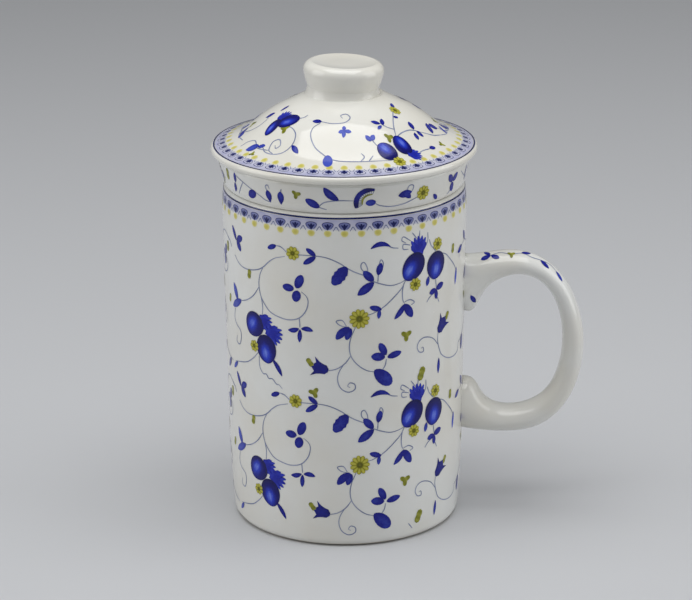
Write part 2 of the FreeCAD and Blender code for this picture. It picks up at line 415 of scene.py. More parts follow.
def fill(outline, middle, shade, rings=3, at=(0, 0), turn=0.0):
    """Places are middle + share * (outline - middle), with share 0 at the middle and 1 at the edge.
    The tone is shade(x, y, share) in the mark's own axes, before it is turned and moved."""
    outline = np.asarray(outline, float)
    middle = np.asarray(middle, float)
    share = np.linspace(0, 1, rings + 1)[1:]
    places = middle + share[:, None, None] * (outline - middle)[None]
    places = np.vstack([middle, places.reshape(-1, 2)])
    share = np.concatenate([[0.0], np.repeat(share, len(outline))])
    tone = shade(places[:, 0], places[:, 1], share)
    spin = np.array([[math.cos(turn), math.sin(turn)], [-math.sin(turn), math.cos(turn)]])
    fan, bands = web_faces(len(outline), rings)
    return {"flat": places @ spin + at, "tone": np.clip(tone, 0, 1), "raise": 1 - share ** 2,
            "threes": fan, "fours": bands}


def smooth_path(points, step=0.6):
    """A Catmull-Rom curve: between two points it is a cubic whose slope at each is half the way
    between that point's two neighbours."""
    p = np.asarray(points, float)
    p = np.vstack([2 * p[0] - p[1], p, 2 * p[-1] - p[-2]])
    a, b, c, d = (q[:, None] for q in (p[:-3], p[1:-2], p[2:-1], p[3:]))
    count = max(3, math.ceil(np.linalg.norm(p[1:] - p[:-1], axis=1).max() / step))
    t = (np.arange(count) / count)[None, :, None]
    cubic = b * 2 + (c - a) * t + (a * 2 - b * 5 + c * 4 - d) * t**2 + (b * 3 - a - c * 3 + d) * t**3
    return np.vstack([cubic.reshape(-1, 2) / 2, p[-2]])


def stroke(points, width=0.36, thin_start=0.7, thin_end=0.5, tone=0.5):
    """A ribbon: the path plus and minus half the width along its normal. The width swells from
    thin_start of itself to full in the middle, and falls to thin_end of itself."""
    path = smooth_path(points)
    along = np.gradient(path, axis=0)
    along /= np.linalg.norm(along, axis=1)[:, None]
    side = np.column_stack([-along[:, 1], along[:, 0]])
    share = np.linspace(0, 1, len(path))
    swell = np.interp(share, [0, 0.25, 0.75, 1], [thin_start, 1, 1, thin_end])
    half = (width / 2 * swell)[:, None] * side
    places = np.stack([path - half, path + half], 1).reshape(-1, 2)
    k = 2 * np.arange(len(path) - 1)
    tones = np.repeat(tone + 0.25 * np.sin(share * 9 + points[0][0]), 2)
    return {"flat": places, "tone": np.clip(tones, 0, 1), "raise": np.zeros(len(places)),
            "threes": np.empty((0, 3), int), "fours": np.column_stack([k, k + 2, k + 3, k + 1])}


print("a trial stroke has", len(stroke([(0, 0), (3, 1), (5, -1)])["fours"]), "faces")

# %% [markdown]
# Now the single marks, each named for what it draws. A leaf, a plum or a petal is one formula: its
# half width at a share a of its length is w / 2 * (4 a (1 - a)) to a power. The power 0.5 gives an
# ellipse, 1 gives a pointed leaf, and a lean pushes the widest place towards one end.


# %% Leaves and plums
def leaf_outline(long, wide, blunt, lean, bend, lobes=0, steps=9):
    """Half width is wide / 2 * (4 A (1 - A)) ** blunt, with A = a ** lean. The midrib bows aside by
    bend * 4 a (1 - a). Lobes add that many soft waves to the edge."""
    a = (1 - np.cos(np.linspace(0, np.pi, steps + 1))) / 2
    leant = a**lean
    waves = 1 - 0.16 * (lobes > 0) * np.sin(np.pi * lobes * a) ** 2
    half = wide / 2 * (4 * leant * (1 - leant)) ** blunt * waves
    rib = bend * 4 * a * (1 - a)
    right = np.column_stack([a * long, rib - half])
    left = np.column_stack([a * long, rib + half])
    return np.vstack([right, left[-2:0:-1]])


def heading(start, end):
    """Length and turn from one place to another."""
    gap = np.subtract(end, start)
    return math.hypot(*gap), math.atan2(gap[1], gap[0])


def leaf(base, tip, wide, blunt=0.8, lean=1.0, bend=0.0, lobes=0, tone=0.45):
    """A leaf from its stalk to its tip. It is a little lighter along the rib and darker at the base."""
    long, turn = heading(base, tip)
    outline = leaf_outline(long, wide, blunt, lean, bend, lobes, 14 if lobes else 8)

    def shade(x, y, share):
        return tone + 0.22 * (x / long - 0.5) + 0.16 * (1 - share) - 0.05 * np.sin(x * 5 + y * 3)

    return fill(outline, (long * 0.5, bend), shade, 2, base, turn)


def plum(stem, crown, wide, glow=(0.36, 0.06)):
    """A ripe plum from its stem to its crown. The tone is dark at the rim and crown, with one soft
    light at the glow, given as shares of the length and width, streaked along the fruit."""
    long, turn = heading(stem, crown)
    outline = leaf_outline(long, wide, 0.5, 1.1, 0.0, 0, 18)

    def shade(x, y, share):
        over = (x / long - glow[0]) / 0.29
        aside = (y / wide - glow[1]) / 0.22
        light = np.exp(-(over**2) - aside**2)
        streaks = 0.05 * np.sin(y / wide * 40) * light
        return 0.36 + 0.60 * light - 0.16 * share**5 - 0.24 * x / long + streaks

    return fill(outline, (long * 0.5, 0), shade, 8, stem, turn)


print("one plum has", len(plum((0, 0), (9, 0), 6)["fours"]), "four-sided faces")


# %% Flowers, buds, tufts and bells
def daisy(middle, radius, petals=8, turn=0.0):
    """A flower seen from above: the edge is radius * (0.80 + 0.20 |cos(petals / 2 * angle)| ** 0.7),
    round petals with a crease between two. A dark line runs along each crease and round the eye."""
    angle = np.linspace(0, 2 * np.pi, petals * 6, endpoint=False)
    reach = radius * (0.80 + 0.20 * np.abs(np.cos(petals / 2 * angle)) ** 0.7)
    outline = np.column_stack([reach * np.cos(angle), reach * np.sin(angle)])

    def shade(x, y, share):
        petal = np.abs(np.cos(petals / 2 * np.arctan2(y, x))) ** 0.6
        ring = np.clip((share - 0.3) / 0.15, 0, 1)
        return 0.05 + ring * (0.15 + 0.70 * petal) - 0.25 * (share > 0.95) + 0.25 * (share < 0.12)

    return fill(outline, (0, 0), shade, 7, middle, turn)


def bud(middle, radius, turn=0.0, lobes=3, tone=0.4):
    """A small knot of sepals: the edge is radius * (0.72 + 0.28 cos(lobes * angle))."""
    angle = np.linspace(0, 2 * np.pi, lobes * 7, endpoint=False)
    reach = radius * (0.72 + 0.28 * np.cos(lobes * angle))
    outline = np.column_stack([reach * np.cos(angle), reach * np.sin(angle)])
    return fill(outline, (0, 0), lambda x, y, share: tone + 0.5 * np.sin(3 * x) * share, 3, middle, turn)


def tuft(base, top, foot):
    """The fringed crown on a plum: a rounded body on a narrow foot. Its half width grows as a
    quarter ellipse, and the far edge is cut into five spikes, each a peak of |cos|."""
    long, turn = heading(base, top)
    u = np.linspace(-1, 1, 31)
    reach = 0.80 * long + 0.20 * long * np.abs(np.cos(u * 2.5 * np.pi)) ** 1.3 - 0.10 * long * u**2
    rim = np.column_stack([reach * np.cos(u * 0.62), reach * np.sin(u * 0.62)])
    cheek = np.array([(0.15 * long, 0.27 * long), (0.36 * long, 0.45 * long), (0.56 * long, 0.47 * long)])
    outline = np.vstack([[(0, -foot)], cheek * (1, -1), rim, cheek[::-1], [(0, foot)]])

    def shade(x, y, share):
        rays = np.abs(np.sin(np.arctan2(y, x + 0.5 * foot) * 11))
        return 0.25 + 0.45 * rays * share + 0.25 * x / long - 0.15 * (share > 0.9)

    return fill(outline, (0.5 * long, 0), shade, 5, base, turn)


def bell(stalk, mouth):
    """A bell flower from the side, from its stalk to its mouth: straight sides that flare to two
    corners, with a longer petal between two notches."""
    long, turn = heading(stalk, mouth)
    half = long * np.array([(0.0, 0.10), (0.18, 0.30), (0.45, 0.34), (0.72, 0.44), (1.05, 0.66),
                            (0.88, 0.30)])
    outline = np.vstack([half * (1, -1), [(1.16 * long, 0.0)], half[::-1]])

    def shade(x, y, share):
        return 0.45 - 0.2 * share + 0.1 * np.sin(5 * y)

    return fill(outline, (0.5 * long, 0), shade, 3, stalk, turn)


print("one daisy has", len(daisy((0, 0), 2.3)["fours"]), "four-sided faces")

# %% [markdown]
# The border under the rim is one small repeat, set side by side all the way round: a navy line, a
# pale violet wash, a little fan of three petals under an arch, a chevron between two fans and a
# yellow drop below each. It could be one long image, but copies of one small repeat stay sharp at
# any distance, and bending the same straight strip into a ring also gives the border of the lid.


# %% The border, drawn straight
def band(low, high, length, low_tone, high_tone, around=282):
    """A closed ribbon between two heights, wavering by a few hundredths of a millimetre."""
    x = np.arange(around) * length / around
    waver = 0.03 * np.sin(x * 2 * np.pi / length * 7)
    rows = np.stack([np.column_stack([x, low + waver]), np.column_stack([x, high + waver])])
    step = np.arange(around)
    onward = (step + 1) % around
    tones = np.repeat([low_tone, high_tone], around) + np.tile(0.12 * np.sin(step * 0.9), 2)
    return {"flat": rows.reshape(-1, 2), "tone": np.clip(tones, 0, 1), "raise": np.zeros(2 * around),
            "threes": np.empty((0, 3), int),
            "fours": np.column_stack([step, onward, onward + around, step + around])}


def border_repeat(x, top, pitch):
    """One fan, one chevron and one drop, as (ink, mark) pairs, hanging from the height top at x."""
    arch = [(x - 1.0, top - 3.45), (x - 1.6, top - 2.7), (x - 1.8, top - 2.0), (x - 1.2, top - 1.5),
            (x, top - 1.32), (x + 1.2, top - 1.5), (x + 1.8, top - 2.0), (x + 1.6, top - 2.7),
            (x + 1.0, top - 3.45)]
    yield "fan", fill(np.array(arch + [(x, top - 3.9)]), (x, top - 2.5),
                      lambda a, b, share: 0.25 + 0.5 * share + 0.2 * np.cos(9 * (a - x)), 3)
    yield "line", stroke(arch, 0.2, 0.6, 0.6, 0.6)
    yield "line", leaf((x, top - 3.75), (x, top - 1.75), 0.8, 0.6, tone=0.1)
    for side in (-1, 1):
        yield "line", leaf((x, top - 3.7), (x + side * 1.05, top - 2.05), 0.55, 0.6,
                           bend=side * 0.12, tone=0.3)
    middle = x + pitch / 2
    yield "vine", stroke([(middle - 0.95, top - 4.1), (middle - 0.25, top - 2.95), (middle, top - 2.75),
                          (middle + 0.25, top - 2.95), (middle + 0.95, top - 4.1)], 0.28, 0.6, 0.6, 0.1)
    bead = leaf_outline(2.1, 2.5, 0.5, 0.8, 0.0)
    yield "drop", fill(bead, (1.0, 0), lambda a, b, share: 0.1 + 0.9 * share**3, 5, (x, top - 3.95),
                       -math.pi / 2)


def border(repeats, top, length):
    """The whole strip of that length: the line, the wash and the repeats, sorted by ink."""
    marks = {"line": [band(top - 0.27, top + 0.27, length, 0.3, 0.5)],
             "wash": [band(top - 3.75, top - 0.45, length, 0.85, 0.2)], "fan": [], "vine": [], "drop": []}
    pitch = length / repeats
    for index in range(repeats):
        for ink, mark in border_repeat(index * pitch, top, pitch):
            marks[ink].append(mark)
    return marks


print("one border repeat has", sum(len(m["fours"]) for _, m in border_repeat(0, 0, 5.35)), "faces")

# %% [markdown]
# The wall carries a scrolling vine with plums, leaves and small yellow flowers, a traditional
# blue-and-white pattern. On the real mug one transfer is laid twice round and about two and a half
# times down the wall, so here one panel is drawn, in millimetres on the unrolled wall, with
# zero at the front and the foot ring, and then repeated. Marks that would run into the border or
# over the foot are left out whole, as the decorator trims a film between motifs, not through them.

# %% The vine panel of the wall
MUG_STEMS = [
    [(-43.8, 94.8), (-41.3, 92.8), (-38.2, 91.9), (-34.8, 92.0), (-31.1, 92.9), (-28.5, 94.3),
     (-26.1, 96.5), (-23.6, 98.2), (-19.8, 99.4)],
    [(-15.5, 100.5), (-9.5, 100.6), (-5.6, 100.1), (-1.8, 98.5), (0.7, 96.8), (3.2, 95.4), (6.4, 94.0),
     (9.0, 92.1), (11.7, 90.9), (15.1, 90.0), (18.2, 90.4), (20.3, 91.2)],
    [(-28.5, 94.3), (-29.9, 91.7), (-30.6, 88.6), (-30.2, 85.3), (-28.9, 82.6), (-26.1, 79.7),
     (-22.6, 78.5), (-18.9, 78.1), (-15.3, 79.1), (-12.9, 81.7), (-12.0, 84.8), (-12.6, 86.8),
     (-14.3, 88.2)],
    [(-15.1, 79.1), (-14.9, 76.0)],
    [(-19.2, 100.9), (-21.1, 102.3), (-23.2, 102.6)],
    [(-40.0, 80.1), (-36.6, 81.4), (-33.3, 83.7), (-30.4, 87.4)],
    [(-44.7, 76.4), (-45.5, 73.1), (-44.1, 70.9), (-41.5, 69.5), (-41.1, 67.1), (-42.3, 64.5),
     (-44.4, 65.1), (-43.9, 67.1)],
    [(-30.0, 84.9), (-29.2, 81.2), (-29.4, 77.8)],
    [(-31.9, 64.3), (-34.2, 62.0), (-37.7, 59.7), (-42.7, 58.3), (-46.3, 57.6)],
    [(-31.4, 63.3), (-31.2, 59.7), (-29.8, 57.7), (-28.3, 57.7), (-27.3, 56.5), (-25.7, 56.6),
     (-24.2, 55.2), (-23.0, 55.0), (-21.8, 53.9)],
    [(20.3, 91.0), (18.7, 88.4), (16.0, 85.8), (13.4, 83.6), (11.3, 82.3), (9.0, 81.2), (7.2, 80.7)],
    [(20.2, 90.9), (19.5, 89.5), (19.1, 87.0), (19.3, 84.5), (19.9, 83.3)],
    [(20.0, 83.8), (22.0, 84.2), (23.7, 83.1), (22.4, 82.3)],
    [(10.8, 94.2), (10.6, 91.5)],
    [(10.9, 96.9), (11.6, 99.0), (12.4, 98.0), (12.3, 96.2)],
    [(7.6, 94.2), (5.4, 96.2), (5.2, 98.0), (6.2, 98.5), (7.1, 96.9), (7.4, 95.0)],
    [(35.5, 97.2), (38.2, 96.0), (40.9, 93.6), (43.2, 91.4), (45.4, 88.6)],
    [(28.9, 105.6), (28.9, 102.9), (27.6, 100.4)],
    [(29.6, 103.0), (30.4, 100.9), (31.6, 99.6), (32.6, 98.4)],
    [(24.4, 104.4), (22.6, 106.6)],
    [(25.4, 104.2), (25.6, 106.8)],
    [(22.0, 104.0), (19.4, 105.7), (18.8, 104.5), (20.2, 103.6)],
    [(21.8, 102.6), (19.4, 103.2), (19.3, 101.6), (21.2, 101.3)],
    [(14.0, 103.4), (15.6, 102.6), (17.6, 102.2)],
    [(32.8, 88.9), (33.3, 85.4)],
    [(31.6, 84.0), (30.2, 83.4), (28.8, 81.9)],
    [(33.4, 83.2), (34.7, 80.7)],
    [(3.3, 76.8), (1.8, 73.2), (1.3, 69.8), (2.0, 66.6), (4.2, 63.8), (7.0, 61.9), (10.2, 61.1)],
    [(1.8, 67.2), (-0.1, 64.6), (-2.8, 62.7), (-6.0, 61.9)],
    [(-0.6, 64.1), (-2.1, 61.6), (-2.6, 58.9), (-1.6, 56.1), (0.8, 54.7), (3.0, 55.6), (3.0, 57.3),
     (1.5, 57.9), (0.7, 56.8), (1.5, 56.3)],
    [(13.6, 65.2), (13.1, 63.0), (11.8, 61.2)],
    [(0.4, 77.2), (-0.9, 79.2), (-2.9, 78.9), (-1.8, 77.6), (0.2, 77.0)],
    [(34.6, 70.8), (34.3, 67.6), (35.3, 64.3), (36.8, 61.9), (40.3, 59.9), (44.9, 59.2), (48.2, 60.2),
     (48.6, 62.4)],
    [(34.6, 66.0), (31.9, 68.9), (28.3, 70.1), (25.9, 69.3), (25.0, 67.3), (26.0, 65.5), (27.6, 65.4),
     (27.5, 66.8), (26.6, 66.7)],
    [(-48.0, 98.6), (-52.4, 100.4), (-57.0, 99.6), (-61.2, 96.4), (-65.6, 94.8), (-70.6, 96.4),
     (-75.0, 95.9)],
    [(-46.2, 96.8), (-47.4, 98.4), (-49.6, 99.6)],
    [(-57.0, 99.6), (-60.4, 95.0), (-60.0, 89.6), (-56.2, 86.2), (-52.0, 87.2), (-51.0, 90.6), (-53.4, 92.4)],
    [(-66.0, 94.8), (-68.4, 90.6), (-68.0, 86.4)],
    [(-62.4, 79.2), (-65.2, 74.4), (-63.8, 69.4), (-59.2, 67.2), (-55.2, 69.6), (-55.6, 73.2), (-58.2, 73.4)],
    [(-48.4, 57.0), (-53.0, 57.8), (-58.0, 60.6), (-61.6, 65.0), (-63.8, 69.4)],
    [(-77.2, 62.6), (-73.2, 64.2), (-69.6, 67.4), (-65.0, 72.4)],
]
MUG_LEAVES = [
    ((-42.3, 100.0), (-45.1, 104.6), 1.7, {}),
    ((-42.0, 100.2), (-38.6, 102.0), 2.4, {"blunt": 0.6}),
    ((-42.0, 100.4), (-39.6, 97.0), 2.2, {"blunt": 0.7}),
    ((-16.0, 89.2), (-13.9, 93.8), 3.0, {"blunt": 0.55}),
    ((-16.8, 88.9), (-20.9, 89.2), 2.6, {"blunt": 0.55}),
    ((-15.4, 88.4), (-16.6, 84.6), 3.1, {"blunt": 0.55}),
    ((-15.2, 75.6), (-19.2, 74.6), 1.7, {"bend": 0.3}),
    ((-14.6, 75.6), (-10.4, 75.2), 1.7, {"bend": 0.35}),
    ((-14.9, 75.4), (-15.2, 70.9), 1.6, {}),
    ((-23.0, 102.6), (-26.4, 101.1), 1.7, {"blunt": 0.6}),
    ((-9.3, 100.6), (-12.4, 102.9), 1.7, {"blunt": 0.6}),
    ((-9.3, 100.3), (-13.4, 97.6), 1.9, {"blunt": 0.6}),
    ((-40.2, 80.3), (-46.6, 76.6), 2.6, {"blunt": 0.7, "tone": 0.7}),
    ((-42.6, 79.4), (-45.3, 85.0), 2.4, {"tone": 0.75}),
    ((-44.1, 57.9), (-47.4, 54.9), 1.6, {"tone": 0.7}),
    ((-25.6, 63.6), (-21.8, 58.2), 1.7, {"bend": 0.3, "tone": 0.35}),
    ((0.6, 97.2), (-3.9, 91.2), 4.3, {"blunt": 0.5, "lobes": 4}),
    ((9.2, 92.0), (5.9, 95.6), 2.6, {"blunt": 0.6}),
    ((9.4, 91.7), (4.0, 87.6), 2.9, {"blunt": 0.75}),
    ((10.7, 93.9), (11.7, 98.0), 2.2, {"blunt": 0.7}),
    ((8.2, 102.9), (15.0, 103.0), 1.7, {"bend": 1.35, "lean": 0.9}),
    ((20.2, 83.2), (16.3, 78.4), 2.0, {"bend": 0.25}),
    ((20.1, 83.0), (22.9, 78.2), 2.8, {"blunt": 0.6}),
    ((11.9, 82.2), (7.9, 83.4), 1.9, {"blunt": 0.6}),
    ((11.2, 82.3), (10.9, 79.2), 1.4, {"tone": 0.6}),
    ((29.5, 90.6), (28.8, 87.4), 1.6, {"tone": 0.6}),
    ((33.1, 85.5), (36.8, 86.7), 2.3, {"blunt": 0.6}),
    ((33.1, 85.4), (30.0, 84.6), 2.0, {"blunt": 0.6}),
    ((33.2, 85.3), (33.2, 82.0), 1.7, {}),
    ((45.4, 89.8), (44.6, 83.9), 1.4, {"tone": 0.9}),
    ((1.4, 76.9), (-3.0, 72.8), 2.7, {"blunt": 0.6, "bend": -0.3}),
    ((1.8, 76.6), (0.3, 72.6), 2.2, {"blunt": 0.6}),
    ((13.5, 66.6), (11.2, 70.9), 2.5, {"blunt": 0.6}),
    ((13.9, 65.8), (18.9, 67.0), 2.3, {"blunt": 0.6}),
    ((13.1, 66.0), (8.4, 66.6), 2.9, {"blunt": 0.6}),
    ((9.5, 61.9), (15.4, 56.4), 4.6, {"blunt": 0.52, "lean": 1.15}),
    ((35.1, 61.4), (34.8, 56.0), 1.4, {"tone": 0.55}),
    ((-53.2, 92.4), (-56.6, 93.0), 2.4, {"blunt": 0.55}),
    ((-53.2, 92.6), (-52.4, 96.2), 2.4, {"blunt": 0.55}),
    ((-53.6, 92.2), (-54.6, 88.8), 2.6, {"blunt": 0.55}),
    ((-70.8, 96.4), (-73.4, 100.2), 2.2, {}),
    ((-75.0, 95.9), (-79.2, 94.2), 2.0, {}),
    ((-68.0, 86.8), (-71.4, 83.0), 2.2, {"bend": 0.3}),
    ((-68.0, 86.8), (-65.2, 82.6), 2.6, {"blunt": 0.6}),
    ((-58.2, 73.4), (-61.0, 75.8), 2.2, {"blunt": 0.6}),
    ((-58.2, 73.2), (-60.2, 70.4), 2.4, {"blunt": 0.6}),
    ((-58.4, 60.9), (-61.6, 56.4), 2.4, {"bend": -0.3}),
    ((-50.4, 57.4), (-53.6, 53.4), 2.0, {}),
    ((-72.6, 64.4), (-73.4, 59.2), 2.8, {"blunt": 0.55, "lobes": 3}),
]
MUG_PLUMS = [
    ((20.2, 91.0), (26.3, 99.1), 8.0, (0.34, 0.08)),
    ((31.9, 89.0), (33.9, 98.3), 8.4, (0.38, -0.04)),
    ((-36.0, 70.3), (-30.8, 77.2), 8.6, (0.50, 0.10)),
    ((-27.2, 61.6), (-29.0, 71.2), 8.4, (0.38, 0.06)),
]
MUG_TUFTS = [((25.4, 98.6), (25.0, 105.2), 1.5), ((-31.0, 76.6), (-25.4, 74.6), 1.2),
             ((-27.8, 73.2), (-21.4, 70.9), 1.6)]
MUG_BELLS = [((-5.6, 62.0), (-10.6, 63.3)), ((34.6, 70.2), (38.0, 74.2))]
MUG_DAISIES = [((-17.0, 100.8), 2.35, 8), ((33.5, 100.7), 2.2, 8), ((24.0, 89.0), 2.2, 8),
               ((4.6, 79.6), 3.35, 11), ((-33.6, 66.3), 2.0, 7), ((-61.4, 80.6), 2.4, 8)]
MUG_BUDS = [((-50.0, 96.1), 1.9, 1.5, 2), ((-35.2, 90.5), 1.7, 1.4, 2), ((42.5, 96.9), 1.7, 1.5, 2),
            ((20.7, 72.3), 2.2, 0.5, 3), ((26.9, 57.9), 2.5, 1.2, 2), ((-10.4, 54.2), 2.0, 0.9, 3),
            ((-11.7, 64.4), 1.7, 2.2, 2), ((39.3, 74.8), 1.6, 1.0, 2), ((-63.2, 88.4), 1.8, 0.4, 3),
            ((-69.8, 77.6), 1.9, 0.8, 3), ((-49.2, 78.6), 1.6, 1.3, 2)]


def draw_panel(stems, leaves, plums, tufts, bells, daisies, buds):
    """Every mark of one panel as (ink, mark) pairs."""
    for path in stems:
        yield "vine", stroke(path)
    for base, tip, wide, shape in leaves:
        yield "leaf", leaf(base, tip, wide, **shape)
    for base, top, foot in tufts:
        yield "tuft", tuft(base, top, foot)
    for stalk, mouth in bells:
        yield "leaf", bell(stalk, mouth)
    for stem, crown, wide, glow in plums:
        yield "plum", plum(stem, crown, wide, glow)
    for middle, radius, petals in daisies:
        yield "daisy", daisy(middle, radius, petals, middle[0])
    for middle, radius, turn, lobes in buds:
        yield "bud", bud(middle, radius, turn, lobes)


def moved(mark, across, up):
    """The same mark, moved along the wall."""
    return {**mark, "flat": mark["flat"] + (across, up)}


PANEL_WIDE = math.pi * ROUND
PANEL_HIGH = 50.3
PRINT_LOW = 3.6
PRINT_HIGH = 106.6


def around_mug():
    """The panel at the front and at the back, in three rows down, whole marks only."""
    marks = {"vine": [], "leaf": [], "tuft": [], "plum": [], "daisy": [], "bud": []}
    panel = list(draw_panel(MUG_STEMS, MUG_LEAVES, MUG_PLUMS, MUG_TUFTS, MUG_BELLS, MUG_DAISIES, MUG_BUDS))
    for across in (0, PANEL_WIDE):
        for row in range(3):
            for ink, mark in panel:
                placed = moved(mark, across, -row * PANEL_HIGH)
                height = placed["flat"][:, 1]
                if height.min() > PRINT_LOW and height.max() < PRINT_HIGH + 0.6 * (ink == "vine"):
                    marks[ink].append(placed)
    return marks


print("marks on the wall:", {ink: len(made) for ink, made in around_mug().items()})

# %% [markdown]
# The infuser's collar shows above the rim as a narrow band. It carries a lighter sprig: the same
# leaves, buds and yellow flower, and one blossom seen from the side, with an eyelet edge.

# %% The sprig on the collar
COLLAR_STEMS = [
    [(-41.4, 123.0), (-39.0, 121.9), (-35.8, 120.7), (-30.4, 118.5), (-27.2, 117.0), (-24.8, 116.6)],
    [(-36.9, 120.9), (-38.8, 118.6), (-40.4, 116.2)],
    [(-26.0, 120.3), (-26.4, 121.8), (-25.4, 122.4), (-24.9, 121.0)],
    [(-21.0, 120.0), (-20.4, 121.8)],
    [(-8.2, 116.9), (-6.2, 118.5), (-2.0, 119.2), (2.8, 119.1)],
    [(9.6, 118.0), (11.4, 117.0), (15.1, 116.3), (19.3, 116.6), (23.0, 117.6), (26.0, 118.6)],
    [(-10.0, 117.6), (-7.6, 116.6), (-5.6, 116.0)],
    [(20.0, 120.2), (21.0, 122.6), (22.6, 122.4), (22.2, 120.6), (20.6, 119.8)],
    [(41.2, 118.6), (40.4, 117.0), (38.8, 116.0)],
    [(47.0, 121.8), (51.0, 119.4), (56.0, 117.6), (61.0, 118.2), (66.0, 120.4), (71.0, 120.8), (75.4, 119.0)],
]
COLLAR_LEAVES = [
    ((-41.6, 119.8), (-41.0, 123.4), 1.7, {}), ((-41.8, 119.8), (-42.4, 116.4), 1.7, {}),
    ((-31.0, 118.9), (-34.6, 116.9), 2.9, {"blunt": 0.55}),
    ((-25.0, 116.5), (-25.9, 120.6), 2.3, {"lean": 1.3}),
    ((-21.0, 116.3), (-20.9, 120.9), 2.4, {"lean": 1.3}),
    ((-7.9, 116.7), (-12.4, 119.2), 2.6, {"blunt": 0.6}),
    ((-1.8, 119.3), (-6.4, 123.6), 2.6, {"bend": 0.5, "blunt": 0.7}), ((17.4, 119.6), (22.2, 120.4), 2.6, {}),
    ((22.0, 118.2), (19.4, 120.8), 2.0, {}), ((31.4, 117.7), (33.5, 115.6), 1.5, {}),
    ((41.0, 119.8), (38.4, 122.6), 2.3, {"blunt": 0.6}), ((41.2, 119.9), (44.0, 122.2), 2.3, {"blunt": 0.6}),
    ((41.0, 119.7), (41.4, 116.4), 2.4, {"blunt": 0.6}), ((53.0, 117.0), (53.2, 122.4), 1.8, {}),
    ((61.0, 118.2), (58.8, 121.6), 2.2, {}), ((71.0, 120.8), (73.0, 117.2), 2.2, {}),
    ((10.0, 118.3), (6.7, 118.1), 2.2, {"blunt": 0.5, "tone": 0.6}),
]
COLLAR_DAISIES = [((26.7, 119.2), 2.5, 9), ((66.2, 120.2), 2.2, 8)]
COLLAR_BUDS = [((-46.7, 121.4), 2.1, 1.4, 2), ((-15.4, 120.6), 1.7, 0.3, 3), ((-52.6, 118.0), 1.5, 0.6, 3)]
FAN_RIM = [(9.4, 122.6), (7.7, 122.6), (6.1, 122.2), (4.6, 121.0), (3.8, 119.3), (3.7, 117.8), (3.9, 116.6)]
FAN_THROAT = [(8.8, 121.1), (7.2, 120.8), (6.0, 119.9), (5.6, 118.7), (5.6, 117.6)]


def fan_blossom():
    """The blossom from the side: a thick curved rim with a row of pale eyelets, an olive throat
    inside it, and short rays between the two."""
    yield "leaf", stroke(FAN_RIM, 1.7, 0.5, 0.7, 0.3)
    yield "bud", stroke(FAN_THROAT, 0.6, 0.5, 0.5, 0.4)
    eyelet = leaf_outline(0.44, 0.44, 0.5, 1, 0, 0, 4)
    rim = smooth_path(FAN_RIM)[::2]
    throat = smooth_path(FAN_THROAT)
    near = throat[np.linspace(0, len(throat) - 1, len(rim)).astype(int)]
    for outer, inner in zip(rim, near):
        yield "wash", fill(eyelet, (0.22, 0), lambda x, y, share: 0.6 - share, 2, outer - (0.22, 0))
        yield "vine", stroke([outer, (outer + inner) / 2, inner], 0.2, 0.6, 0.6, 0.1)


def around_collar():
    """The sprig at the front and again at the back."""
    marks = {"vine": [], "leaf": [], "wash": [], "daisy": [], "bud": []}
    sprig = list(draw_panel(COLLAR_STEMS, COLLAR_LEAVES, [], [], [], COLLAR_DAISIES, COLLAR_BUDS))
    sprig += list(fan_blossom())
    for across in (0, PANEL_WIDE):
        for ink, mark in sprig:
            marks[ink].append(moved(mark, across, 0.0))
    return marks


print("marks on the collar:", {ink: len(made) for ink, made in around_collar().items()})

# %% [markdown]
# On the lid the same plums and scrolls lie on a dome. A flat drawing can't be wrapped on a dome
# without stretching, so this one is drawn in plan, as seen from straight above, and then dropped
# onto the measured dome. It is turned half a circle for the copy at the back.

# %% The sprays on the lid
LID_STEMS = [
    [(-14.5, -15.8), (-12.9, -16.2), (-11.4, -15.6)],
    [(-33.4, -13.6), (-31.0, -13.0), (-28.6, -14.9), (-28.0, -18.0), (-26.4, -20.4)],
    [(-28.0, -19.4), (-26.4, -21.4), (-24.2, -23.4)],
    [(-26.0, -20.6), (-25.2, -23.6), (-22.6, -26.2), (-19.5, -27.0), (-16.6, -25.6), (-15.4, -22.6),
     (-16.4, -19.4), (-18.4, -17.0)],
    [(-22.8, -25.8), (-24.0, -23.4), (-22.8, -20.8), (-20.6, -21.2), (-20.3, -23.6), (-21.8, -24.0),
     (-22.0, -22.6)],
    [(-7.1, -20.2), (-3.6, -21.6), (0.2, -21.4), (2.0, -19.4), (0.8, -17.8), (-1.0, -18.4), (-0.4, -19.6)],
    [(-7.4, -20.6), (-9.8, -22.0), (-10.6, -24.7), (-9.3, -28.7), (-6.8, -31.6), (-4.3, -33.7), (-0.5, -34.8),
     (5.2, -34.7), (10.3, -33.7), (15.0, -32.4)],
    [(5.2, -34.7), (6.4, -32.8), (5.4, -31.6)],
    [(7.8, -34.3), (9.2, -31.8)],
    [(15.8, -11.6), (15.8, -15.0), (15.9, -18.9), (16.6, -22.9)],
    [(16.2, -20.2), (13.6, -20.4), (11.4, -19.6)],
    [(17.0, -22.4), (18.8, -19.8), (21.4, -17.0), (25.3, -14.7)],
    [(23.4, -27.0), (24.6, -24.2), (26.4, -22.0), (28.0, -20.4)],
    [(25.3, -14.7), (29.0, -12.0), (31.6, -8.2)],
    [(11.0, -28.4), (9.6, -27.4), (8.4, -25.8)],
    [(31.6, -8.2), (33.4, -4.0), (33.2, 1.0), (30.8, 5.4), (27.4, 7.4), (24.6, 6.4), (25.4, 4.4)],
    [(-32.8, -9.6), (-34.2, -4.0), (-33.2, 1.4), (-30.2, 5.0)],
]
